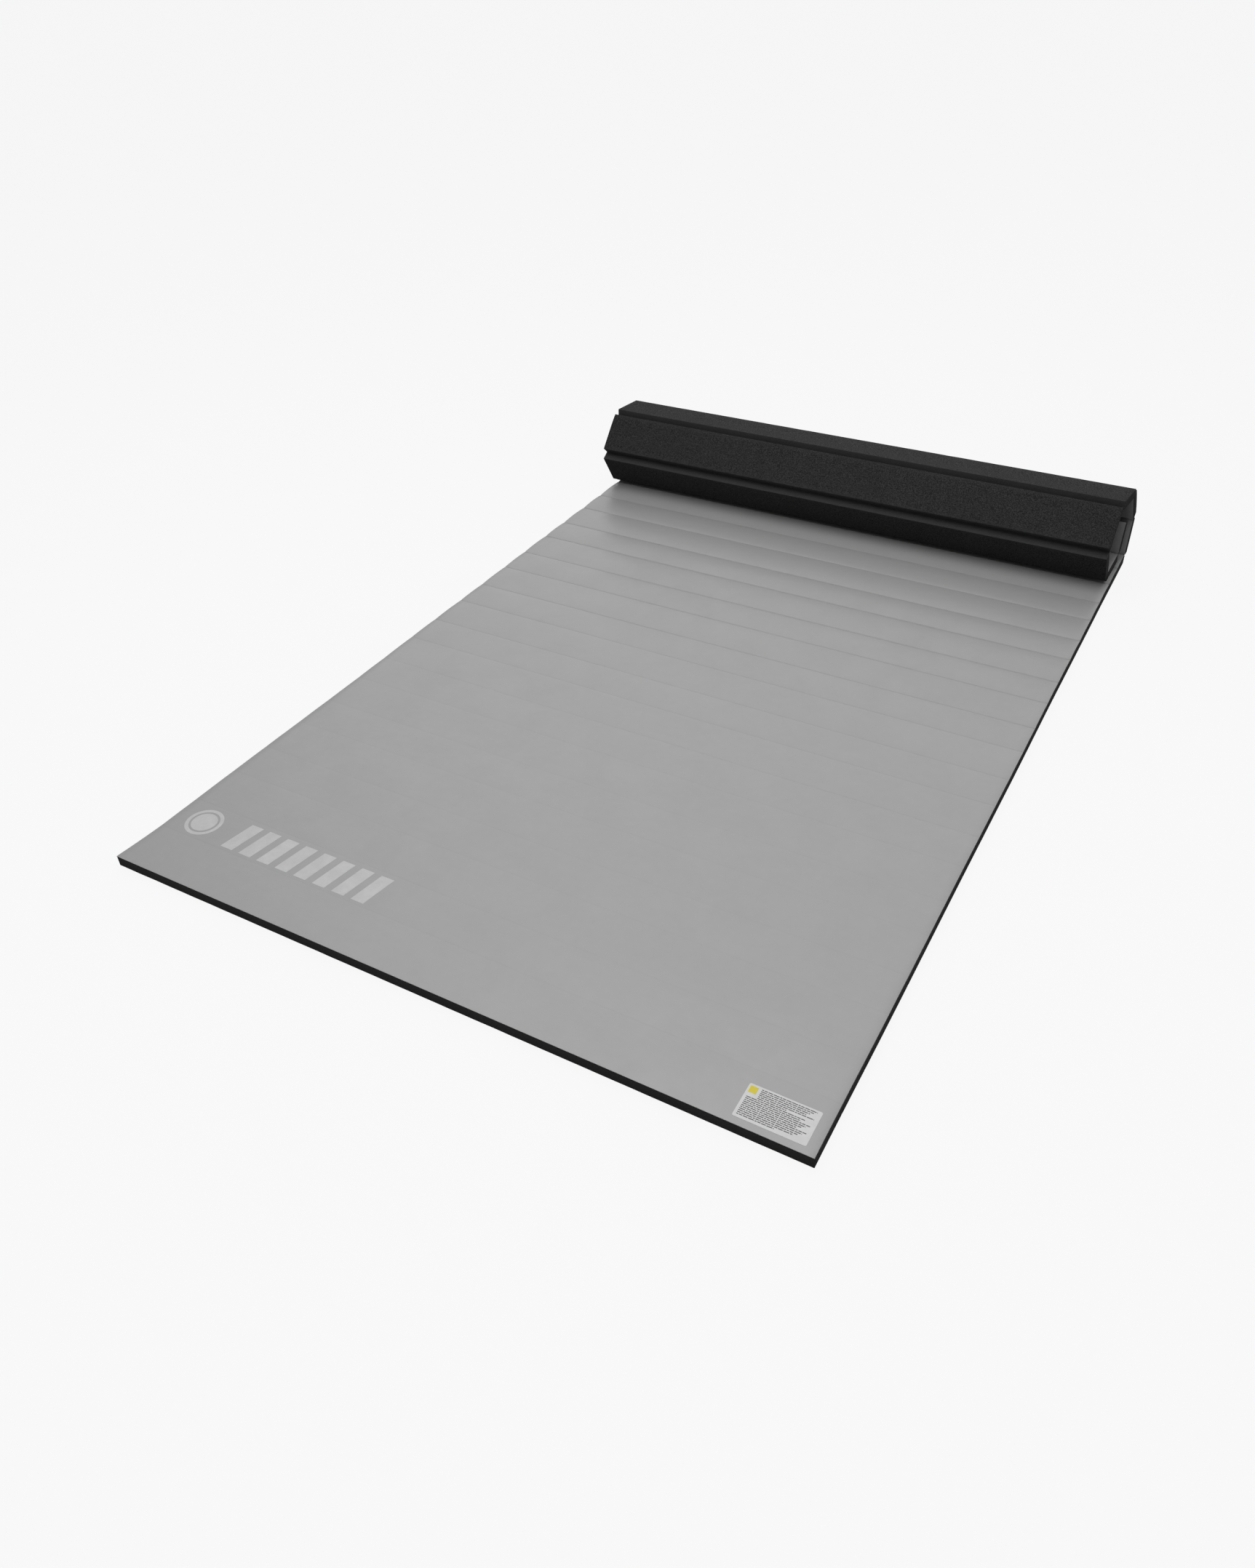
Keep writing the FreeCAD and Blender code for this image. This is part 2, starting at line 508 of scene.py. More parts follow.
class Effects:
    """The effects that the finishes share."""

    def __init__(self) -> None:
        """Makes every group."""
        self.specks = self.make_specks()
        self.clouds = self.make_clouds()
        self.pebbles = self.make_pebbles()

    @staticmethod
    def make_specks() -> Effect:
        """Fine uneven specks, as on the skin of closed-cell foam."""
        inputs = {"Vector": None, "Scale": 700.0, "Low": 0.35, "High": 0.7}
        effect = Effect("specks", inputs, ("Mask", "Height"))
        tools, given = effect.tools, effect.given
        grain = {"Vector": given["Vector"], "Scale": given["Scale"], "Detail": 3.0, "Roughness": 0.6}
        fine = tools.add("ShaderNodeTexNoise", grain).outputs["Fac"]
        tools.put(effect.result["Mask"], tools.contrast(fine, given["Low"], given["High"]))
        tools.put(effect.result["Height"], fine)
        return effect

    @staticmethod
    def make_clouds() -> Effect:
        """Slow cloudy blotches over a finer mottle."""
        times_finer = 5.5
        darkest, palest = 0.32, 0.68
        effect = Effect("clouds", {"Vector": None, "Scale": 12.0, "Fine": 0.35}, ("Value",))
        tools, given = effect.tools, effect.given
        blotches = {"Vector": given["Vector"], "Scale": given["Scale"], "Detail": 2.0, "Distortion": 0.6}
        slow = tools.add("ShaderNodeTexNoise", blotches).outputs["Fac"]
        fine_scale = tools.math("MULTIPLY", given["Scale"], times_finer)
        mottle = {"Vector": given["Vector"], "Scale": fine_scale, "Detail": 4.0}
        fine = tools.add("ShaderNodeTexNoise", mottle).outputs["Fac"]
        slow_part = tools.math("MULTIPLY", slow, tools.math("SUBTRACT", 1.0, given["Fine"]))
        both = tools.math("ADD", slow_part, tools.math("MULTIPLY", fine, given["Fine"]))
        tools.put(effect.result["Value"], tools.contrast(both, darkest, palest))
        return effect

    @staticmethod
    def make_pebbles() -> Effect:
        """The shallow pebbled grain that is pressed into a vinyl sheet."""
        coarser = 0.4
        dome = -0.7
        effect = Effect("pebbles", {"Vector": None, "Scale": 850.0}, ("Height",))
        tools, given = effect.tools, effect.given
        grain = {"Vector": given["Vector"], "Scale": given["Scale"]}
        cells = tools.add("ShaderNodeTexVoronoi", grain, feature="SMOOTH_F1").outputs["Distance"]
        coarse_scale = tools.math("MULTIPLY", given["Scale"], coarser)
        uneven = {"Vector": given["Vector"], "Scale": coarse_scale}
        drift = tools.add("ShaderNodeTexNoise", uneven).outputs["Fac"]
        tools.put(effect.result["Height"], tools.math("ADD", tools.math("MULTIPLY", cells, dome), drift))
        return effect


@dataclass(frozen=True)
class Finish:
    """What every finish has.

    Attributes:
        effects: the shared node groups.
    """

    effects: Effects

    @staticmethod
    def start(name: str) -> tuple[Material, NodeTools, Node]:
        """A new material, the tools that add nodes to it, and its Principled shader."""
        material = bpy.data.materials.new(name)
        material.use_nodes = True
        shader = material.node_tree.nodes["Principled BSDF"]
        return material, NodeTools(material.node_tree), shader


@dataclass(frozen=True)
class FoamFinish(Finish):
    """Black closed-cell foam: speckled skin, more open and paler where it is cut, partly from the open cells
    and partly as painted light that lifts the shade in the cuts, paler where it is worn.

    Attributes:
        skin: the colours of the skin between its specks and of the specks.
        cut: the same of a cut face, paler partly from its open cells and partly as painted light that lifts
            the shade in the cuts.
        worn: the colour that a worn edge tends to.
        skin_specks: the scale of the skin's specks.
        cut_specks: the same of a cut face.
        patchy: how much of the wear shows, where it shows least and most.
        tone: the share of the colour that is left in the darkest and the palest blotches.
        rough: the roughness between the specks and on them.
        shine: the strength of its highlights.
        relief: the height of the grain.
    """

    skin: tuple[float, float] = (0.007, 0.034)
    cut: tuple[float, float] = (0.03, 0.056)
    worn: float = 0.03
    skin_specks: float = 380.0
    cut_specks: float = 950.0
    patchy: tuple[float, float] = (0.25, 0.9)
    tone: tuple[float, float] = (0.9, 1.1)
    rough: tuple[float, float] = (0.92, 0.74)
    shine: float = 0.3
    relief: float = 0.0008

    def specks(self, tools: NodeTools, where: Socket, scale: float) -> Node:
        """Places clear-cut specks of one scale."""
        return self.effects.specks.place(tools, {"Vector": where, "Scale": scale, "Low": 0.4, "High": 0.62})

    def build(self) -> Material:
        """Makes the material."""
        material, tools, shader = self.start("foam")
        where = tools.add("ShaderNodeTexCoord").outputs["Object"]
        skin = self.specks(tools, where, self.skin_specks)
        cells = self.specks(tools, where, self.cut_specks)
        blotches = {"Vector": where, "Scale": 9.0, "Fine": 0.5}
        clouds = self.effects.clouds.place(tools, blotches).outputs["Value"]
        skin_colour = tools.mix(skin.outputs["Mask"], *(shade(level) for level in self.skin))
        # Partly painted light: cut faces are paler than the skin by more than the open cells give, to lift
        # the shade in the cuts.
        cut_lifted_colour = tools.mix(cells.outputs["Mask"], *(shade(level) for level in self.cut))
        cut = tools.attribute("cut")
        both = tools.mix(cut, skin_colour, cut_lifted_colour)
        wear = tools.math("MULTIPLY", tools.attribute("wear"), tools.between(clouds, *self.patchy))
        worn = tools.mix(wear, both, shade(self.worn))
        tools.put(shader.inputs["Base Color"], tools.toned(worn, tools.between(clouds, *self.tone)))
        tools.put(shader.inputs["Roughness"], tools.between(skin.outputs["Mask"], *self.rough))
        shader.inputs["Specular IOR Level"].default_value = self.shine
        cell_height = tools.math("MULTIPLY", cells.outputs["Height"], cut)
        height = tools.math("ADD", skin.outputs["Height"], cell_height)
        tools.put(shader.inputs["Normal"], tools.bump(height, 0.7, self.relief))
        return material


@dataclass(frozen=True)
class VinylFinish(Finish):
    """Smooth grey vinyl with a fine pebbled grain, and painted shade along its creases.

    Attributes:
        base: its colour.
        variation: how far the cloudy mottle changes the colour, as a share of it.
        crease: the painted shade in the bottom of a crease, as a share of the base colour.
        rough: the roughness of its smoothest and roughest patches.
        grain: the height of the grain.
        wave: the height of the broad waves.
        wave_scale: how close together the waves are across the mat and along it.
    """

    base: float = 0.335
    variation: float = 0.022
    crease: float = 0.8
    rough: tuple[float, float] = (0.32, 0.39)
    grain: float = 0.0002
    wave: float = 0.0009
    wave_scale: tuple[float, float, float] = (14.0, 38.0, 1.0)

    def build(self) -> Material:
        """Makes the material."""
        material, tools, shader = self.start("vinyl")
        flat = tools.add("ShaderNodeTexCoord").outputs["UV"]
        blotches = {"Vector": flat, "Scale": 9.0, "Fine": 0.4}
        clouds = self.effects.clouds.place(tools, blotches).outputs["Value"]
        low, high = (self.base * (1 + side * self.variation) for side in (-1, 1))
        mottled = tools.mix(clouds, shade(low), shade(high))
        # Painted shade: the colour is darkened along each crease, where the valley's shade falls.
        crease_shaded = tools.mix(tools.attribute("crease"), mottled, shade(self.base * self.crease))
        tools.put(shader.inputs["Base Color"], crease_shaded)
        smoothest, roughest = self.rough
        tools.put(shader.inputs["Roughness"], tools.between(clouds, roughest, smoothest))
        pebbles = self.effects.pebbles.place(tools, {"Vector": flat}).outputs["Height"]
        grained = tools.bump(pebbles, 0.25, self.grain)
        spread = tools.add("ShaderNodeMapping", {"Vector": flat, "Scale": self.wave_scale}).outputs["Vector"]
        waves = tools.add("ShaderNodeTexNoise", {"Vector": spread, "Scale": 1.0, "Detail": 3.0})
        tools.put(shader.inputs["Normal"], tools.bump(waves.outputs["Fac"], 0.5, self.wave, over=grained))
        return material


@dataclass(frozen=True)
class BackingShadeFinish(Finish):
    """The sheet's woven underside, which shows only at the bottom of the cuts, coloured nearly black as
    painted shade for those grooves.

    Attributes:
        groove_shade: its colour, which is painted shade for the grooves.
        light: the colour of its raised threads, which is painted shade as well.
        rough: its roughness.
        relief: the height of the threads.
    """

    groove_shade: float = 0.035
    light: float = 0.05
    rough: float = 0.9
    relief: float = 0.0003

    def build(self) -> Material:
        """Makes the material."""
        material, tools, shader = self.start("vinyl_backing_painted_shade")
        flat = tools.add("ShaderNodeTexCoord").outputs["UV"]
        threads = self.effects.specks.place(tools, {"Vector": flat, "Scale": 800.0})
        # Painted shade: the colours are kept nearly black to stand for the shade in the grooves between the
        # slats.
        woven = tools.mix(threads.outputs["Mask"], shade(self.groove_shade), shade(self.light))
        tools.put(shader.inputs["Base Color"], woven)
        shader.inputs["Roughness"].default_value = self.rough
        tools.put(shader.inputs["Normal"], tools.bump(threads.outputs["Height"], 0.4, self.relief))
        return material


@dataclass(frozen=True)
class InkFinish(Finish):
    """Pale ink on the vinyl, thin enough that the grain shows.

    Attributes:
        base: its colour.
        thin: the colour where the ink is thin.
        missed: the colour where hardly any ink took, as a share of the thin ink's.
        rough: the roughness of the thin ink and of the thick.
        grain: the height of the grain.
    """

    base: float = 0.52
    thin: float = 0.46
    missed: float = 0.9
    rough: tuple[float, float] = (0.55, 0.47)
    grain: float = 0.0002

    def build(self) -> Material:
        """Makes the material."""
        material, tools, shader = self.start("print_ink")
        where = tools.add("ShaderNodeTexCoord").outputs["Object"]
        clouds = self.effects.clouds.place(tools, {"Vector": where, "Scale": 30.0}).outputs["Value"]
        pinholes = {"Vector": where, "Scale": 900.0, "Low": 0.28, "High": 0.36}
        covered = self.effects.specks.place(tools, pinholes).outputs["Mask"]
        inked = tools.mix(clouds, shade(self.thin), shade(self.base))
        tools.put(shader.inputs["Base Color"], tools.mix(covered, shade(self.thin * self.missed), inked))
        tools.put(shader.inputs["Roughness"], tools.between(clouds, *self.rough))
        pebbles = self.effects.pebbles.place(tools, {"Vector": where}).outputs["Height"]
        tools.put(shader.inputs["Normal"], tools.bump(pebbles, 0.2, self.grain))
        return material


@dataclass(frozen=True)
class StickerFinish(Finish):
    """One of the care label's finishes: smooth coated paper or an ink on it.

    Attributes:
        name: the finish's name.
        colour: its colour.
        tone: the share of the colour that is left in the darkest and the palest blotches.
        rough: the roughness between the paper's fibres and on them.
        relief: the height of the fibres.
    """

    name: str
    colour: Colour
    tone: tuple[float, float] = (0.95, 1.03)
    rough: tuple[float, float] = (0.42, 0.5)
    relief: float = 0.0001

    def build(self) -> Material:
        """Makes the material."""
        material, tools, shader = self.start(self.name)
        where = tools.add("ShaderNodeTexCoord").outputs["Object"]
        clouds = self.effects.clouds.place(tools, {"Vector": where, "Scale": 45.0}).outputs["Value"]
        fibres = self.effects.specks.place(tools, {"Vector": where, "Scale": 1500.0})
        tinted = tools.toned((*self.colour, 1.0), tools.between(clouds, *self.tone))
        tools.put(shader.inputs["Base Color"], tinted)
        tools.put(shader.inputs["Roughness"], tools.between(fibres.outputs["Mask"], *self.rough))
        tools.put(shader.inputs["Normal"], tools.bump(fibres.outputs["Height"], 0.1, self.relief))
        return material


# ------------------------------------------------------------------------------------------- the foam slats


@dataclass(frozen=True)
class FoamSlats:
    """The blocks of foam under the sheet.

    Attributes:
        layout: the mat's layout.
        shape: how the surface departs from flat.
        worn_edge: the radius of the lower long edges.
        worn_steps: the steps in that rounding.
        cut_edge: the radius of all the other edges.
        cut_steps: the steps in that rounding.
        cuts_across: how many cuts divide a block across the mat.
        cuts_along: how many cuts divide it along the mat.
        uneven: how deep the unevenness of the skin and the cut faces is.
        lump_scale: how close together the lumps are over the skin and through the foam.
        lump_step: how much one slat's lumps differ from the next's.
        calm_top: how much of a cut face's unevenness is lost at its top, where the sheet holds it.
        wear_reach: how far wear shows from a lower long edge.
    """

    layout: MatLayout
    shape: SurfaceShape
    worn_edge: float = 0.001
    worn_steps: int = 4
    cut_edge: float = 0.0005
    cut_steps: int = 2
    cuts_across: int = 90
    cuts_along: int = 8
    uneven: float = 0.0005
    lump_scale: tuple[float, float] = (22.0, 40.0)
    lump_step: float = 5.0
    calm_top: float = 0.6
    wear_reach: float = 0.004

    def build(self, foam: Material) -> list[Object]:
        """Makes every block, in the order of the slats."""
        pieces = []
        for slat in self.layout.slats:
            bm = self.block(slat)
            self.mark(bm, slat)
            self.displace(bm, slat)
            piece = finish_piece(f"foam_block_{slat.number:02d}", bm, slat, [foam])
            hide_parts(f"foam_slat_{slat.number:02d}")
            pieces.append(piece)
        return pieces

    def block(self, slat: Slat) -> BMesh:
        """A straight block with rounded edges, cut into a grid."""
        half_gap = self.layout.gap / 2
        half, top = self.layout.half_width, -self.layout.vinyl
        low = Vector((-half, half_gap, top - self.layout.foam))
        bm = box_mesh(low, Vector((half, slat.pitch - half_gap, top)))
        middle = top - self.layout.foam / 2
        lower = [e for e in edges_along(bm, Axis.ACROSS) if e.verts[0].co.z < middle]
        bevel(bm, lower, self.worn_edge, self.worn_steps)
        nearly_square = math.radians(70.0)
        others = [e for e in bm.edges if e.calc_face_angle(0.0) > nearly_square]
        bevel(bm, others, self.cut_edge, self.cut_steps)
        across = edges_along(bm, Axis.ACROSS)
        bmesh.ops.subdivide_edges(bm, edges=across, cuts=self.cuts_across, use_grid_fill=True)
        along = [e for e in edges_along(bm, Axis.ALONG) if e.calc_length() > slat.pitch / 2]
        bmesh.ops.subdivide_edges(bm, edges=along, cuts=self.cuts_along, use_grid_fill=True)
        return bm

    def mark(self, bm: BMesh, slat: Slat) -> None:
        """Stores where the foam is cut and where it is worn."""
        cut = bm.verts.layers.float.new("cut")
        wear = bm.verts.layers.float.new("wear")
        half_gap = self.layout.gap / 2
        floor = -self.layout.vinyl - self.layout.foam
        for vert in bm.verts:
            x, y, z = vert.co
            from_side = self.layout.half_width - abs(x)
            from_cut = min(y - half_gap, slat.pitch - half_gap - y)
            from_floor = z - floor
            vert[cut] = 1.0 if min(from_side, from_cut) < self.cut_edge else 0.0
            worn = 1.0 - max(from_cut, from_floor) / self.wear_reach
            vert[wear] = min(1.0, max(0.0, worn))

    def displace(self, bm: BMesh, slat: Slat) -> None:
        """Lifts the top with the sheet and makes the skin and the cuts uneven, inwards only."""
        layout, shape = self.layout, self.shape
        middle = slat.pitch / 2
        flat_scale, deep_scale = self.lump_scale
        for vert in bm.verts:
            x, y, z = vert.co
            up = 1.0 + (z + layout.vinyl) / layout.foam
            spot = Vector((x * flat_scale, y * flat_scale + slat.number * self.lump_step, z * deep_scale))
            rough = 0.5 + 0.5 * noise.noise(spot)
            vert.co.x += shape.side_shift(slat, x, y)
            vert.co.y += self.uneven * rough * (middle - y) / middle * (1.0 - self.calm_top * up)
            vert.co.z += shape.height(slat, x, y) * up + self.uneven * rough * (1.0 - up)


# ------------------------------------------------------------------------------------------------ the sheet


@dataclass(frozen=True)
class VinylSheet:
    """The sheet on top, in one stretch for each slat.

    Each stretch ends on its creases. Under its far crease it has a round web of its own thickness, which
    fills the wedge that opens there when the crease bends. The web and the underside are coloured as painted
    shade of the groove.

    Attributes:
        layout: the mat's layout.
        shape: how the surface departs from flat.
        edge: the radius of the sheet's outer edges.
        edge_steps: the steps in that rounding.
        trim: how far the sheet stops short of the foam along the right edge.
        cuts_across: how many cuts divide a stretch across the mat.
        cuts_along: how many cuts divide it along the mat.
        gather: how much closer the cuts are beside a crease, from 0 for even cuts to 1.
        crease_reach: how far the painted shade of a crease reaches.
        faint: how strong that painted shade is where the mat has settled flat, beside 1 where it is fresh.
        web_steps: the steps in a web.
    """

    layout: MatLayout
    shape: SurfaceShape
    edge: float = 0.0003
    edge_steps: int = 2
    trim: float = 0.0012
    cuts_across: int = 84
    cuts_along: int = 23
    gather: float = 0.82
    crease_reach: float = 0.0016
    faint: float = 0.12
    web_steps: int = 5

    def build(self, vinyl: Material, backing_shade: Material, foam: list[Object]) -> list[Object]:
        """Makes every stretch.

        Args:
            vinyl: the material of the sheet's upper surface and edges.
            backing_shade: the material of its underside and webs, which is painted shade for the grooves.
            foam: the blocks of foam, in the order of the slats.

        Returns:
            The stretches, in the same order.
        """
        pieces = []
        for slat, block in zip(self.layout.slats, foam):
            bm = self.stretch(slat)
            self.map_surface(bm, slat)
            self.displace(bm, slat)
            if slat.far_bend > 0:
                self.add_web(bm, slat)
            name = f"vinyl_stretch_{slat.number:02d}"
            piece = finish_piece(name, bm, slat, [vinyl, backing_shade])
            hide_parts(f"vinyl_panel_{slat.number:02d}")
            pieces.append(piece)
        return pieces

    def stretch(self, slat: Slat) -> BMesh:
        """A flat stretch, cut into a grid that is finer beside its creases."""
        half, thickness = self.layout.half_width, self.layout.vinyl
        bm = box_mesh(Vector((-half, 0.0, -thickness)), Vector((half - self.trim, slat.pitch, 0.0)))
        # The underside takes the painted groove shade.
        for face in bm.faces:
            if face.calc_center_median().z < -0.75 * thickness:
                face.material_index = SheetSide.BACKING_SHADE.value
        outer = edges_along(bm, Axis.ALONG)
        if slat.number == 1:
            outer += [e for e in edges_along(bm, Axis.ACROSS) if e.verts[0].co.y < slat.pitch / 2]
        upper = [e for e in outer if e.verts[0].co.z > -thickness / 2]
        bevel(bm, upper, self.edge, self.edge_steps)
        across = [e for e in edges_along(bm, Axis.ACROSS) if e.calc_length() > half]
        bmesh.ops.subdivide_edges(bm, edges=across, cuts=self.cuts_across, use_grid_fill=True)
        along = [e for e in edges_along(bm, Axis.ALONG) if e.calc_length() > slat.pitch / 2]
        bmesh.ops.subdivide_edges(bm, edges=along, cuts=self.cuts_along, use_grid_fill=True)
        for vert in bm.verts:
            share = vert.co.y / slat.pitch
            vert.co.y = slat.pitch * (share - self.gather * math.sin(2 * math.pi * share) / (2 * math.pi))
        return bm

    def map_surface(self, bm: BMesh, slat: Slat) -> None:
        """Lays out the surface in metres along and across the mat, and marks where the creases' painted
        shade goes.
        """
        # The crease attribute carries the painted shade of the creases, strongest where they are fresh.
        crease = bm.verts.layers.float.new("crease")
        fresh = self.shape.freshness(slat)
        last = self.layout.slats[-1].number
        for vert in bm.verts:
            near = 0.0 if slat.number == 1 else math.exp(-((vert.co.y / self.crease_reach) ** 2))
            far_end = slat.pitch - vert.co.y
            far = 0.0 if slat.number == last else math.exp(-((far_end / self.crease_reach) ** 2))
            vert[crease] = max(near, far) * (self.faint + (1.0 - self.faint) * fresh)
        flat = bm.loops.layers.uv.new("flat")
        for face in bm.faces:
            for loop in face.loops:
                x, y, _ = loop.vert.co
                loop[flat].uv = (x + self.layout.half_width, slat.distance + y)

    def displace(self, bm: BMesh, slat: Slat) -> None:
        """Gives the stretch its crown, its valleys and its uneven long edges."""
        for vert in bm.verts:
            x, y, _ = vert.co
            vert.co.z += self.shape.height(slat, x, y)
            vert.co.x += self.shape.side_shift(slat, x, y)

    def add_web(self, bm: BMesh, slat: Slat) -> None:
        """Turns the far end face about the crease, as far as the crease ever bends."""
        end = [f for f in bm.faces if all(v.co.y > slat.pitch - SAME_POINT for v in f.verts)]
        geometry = list({item for face in end for item in (face, *face.edges, *face.verts)})
        centre = Vector((0.0, slat.pitch, 0.0))
        before = set(bm.faces)
        bmesh.ops.spin(
            bm,
            geom=geometry,
            cent=centre,
            axis=(1, 0, 0),
            angle=slat.far_bend,
            steps=self.web_steps,
        )
        # The web takes the painted groove shade.
        for face in set(bm.faces) - before:
            face.material_index = SheetSide.BACKING_SHADE.value
        bmesh.ops.remove_doubles(bm, verts=bm.verts, dist=SAME_POINT)


# ---------------------------------------------------------------------------------- the print and the label


@dataclass(frozen=True)
class SurfaceFilm:
    """What the print and the label have in common: a thin film that follows the sheet.

    Attributes:
        layout: the mat's layout.
        shape: how the surface departs from flat.
        sunk: how far the film's underside is below the sheet's surface, so that no gap shows.
    """

    layout: MatLayout
    shape: SurfaceShape
    sunk: float = 0.00005

    def flat_box(self, node: str, slat: Slat) -> tuple[Vector, Vector]:
        """A node's box in its slat's own frame."""
        to_slat = slat.matrix().inverted()
        low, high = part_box(node)
        return to_slat @ low, to_slat @ high

    def lay(self, bm: BMesh, slat: Slat) -> None:
        """Bends a flat film over the sheet."""
        for vert in bm.verts:
            vert.co.z += self.shape.height(slat, vert.co.x, vert.co.y) - self.sunk

    def thicken(self, bm: BMesh, thickness: float) -> None:
        """Makes a flat film facing up into a closed one of a thickness."""
        bmesh.ops.recalc_face_normals(bm, faces=bm.faces)
        for face in bm.faces:
            if face.normal.z < 0:
                face.normal_flip()
        bmesh.ops.solidify(bm, geom=bm.faces[:], thickness=-thickness)


@dataclass(frozen=True)
class CornerPrint(SurfaceFilm):
    """A plain ringed disc and a row of plain slanted bars in pale ink.

    Attributes:
        bars: how many bars there are.
        bar_pitch: from one bar to the next.
        bar_width: a bar's width.
        slant: how far the top of a bar leans, as a share of its height.
        bar_grid: the points of a bar across it and along it, so that it can follow the sheet.
        ring: the width of the disc's outer ring.
        ring_gap: the gap between that ring and the disc.
        round_sides: the sides of the disc and the ring.
        disc_cuts: how many rings cut the disc, so that it can follow the sheet.
        film: the ink's thickness.
    """

    bars: int = 8
    bar_pitch: float = 0.049
    bar_width: float = 0.031
    slant: float = 0.16
    bar_grid: tuple[int, int] = (3, 10)
    ring: float = 0.008
    ring_gap: float = 0.005
    round_sides: int = 72
    disc_cuts: int = 5
    film: float = 0.00018

    def build(self, ink: Material) -> Object:
        """Makes the print on its slat."""
        slat = self.layout.slat_under(frame["nodes"]["corner_print"]["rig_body"])
        low, high = self.flat_box("corner_print", slat)
        radius = (high.y - low.y) / 2
        centre = Vector((low.x + radius, low.y + radius, 0.0))
        bm = bmesh.new()
        self.add_round(bm, centre, radius, radius - self.ring)
        self.add_round(bm, centre, radius - self.ring - self.ring_gap, 0.0)
        for index in range(self.bars):
            right = high.x - (self.bars - 1 - index) * self.bar_pitch
            self.add_bar(bm, Vector((right - self.bar_width / 2, centre.y, 0.0)), high.y - low.y)
        self.thicken(bm, self.film)
        self.lay(bm, slat)
        piece = finish_piece("corner_ink", bm, slat, [ink])
        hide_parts("corner_print")
        return piece

    def add_round(self, bm: BMesh, centre: Vector, outer: float, inner: float) -> None:
        """Adds a ring, or a disc where inner is 0.

        Args:
            bm: the print's mesh.
            centre: the middle of the ring.
            outer: its outer radius.
            inner: its inner radius.
        """
        made = bmesh.ops.create_circle(
            bm,
            cap_ends=inner == 0,
            cap_tris=True,
            segments=self.round_sides,
            radius=outer,
            matrix=Matrix.Translation(centre),
        )
        edges = {e for vert in made["verts"] for e in vert.link_edges}
        if inner == 0:
            reach_middle = 1.5 * outer
            spokes = [e for e in edges if sum((v.co - centre).length for v in e.verts) < reach_middle]
            bmesh.ops.subdivide_edges(bm, edges=spokes, cuts=self.disc_cuts, use_grid_fill=True)
            return
        ring = bmesh.ops.extrude_edge_only(bm, edges=list(edges))["geom"]
        inside = [item for item in ring if isinstance(item, BMVert)]
        bmesh.ops.scale(bm, vec=(inner / outer,) * 3, verts=inside, space=Matrix.Translation(-centre))

    def add_bar(self, bm: BMesh, centre: Vector, height: float) -> None:
        """Adds one slanted bar."""
        across, along = self.bar_grid
        made = bmesh.ops.create_grid(bm, x_segments=across, y_segments=along, size=0.5)["verts"]
        bmesh.ops.scale(bm, vec=(self.bar_width, height, 1.0), verts=made)
        for vert in made:
            vert.co.x += vert.co.y * self.slant
        bmesh.ops.translate(bm, vec=centre, verts=made)


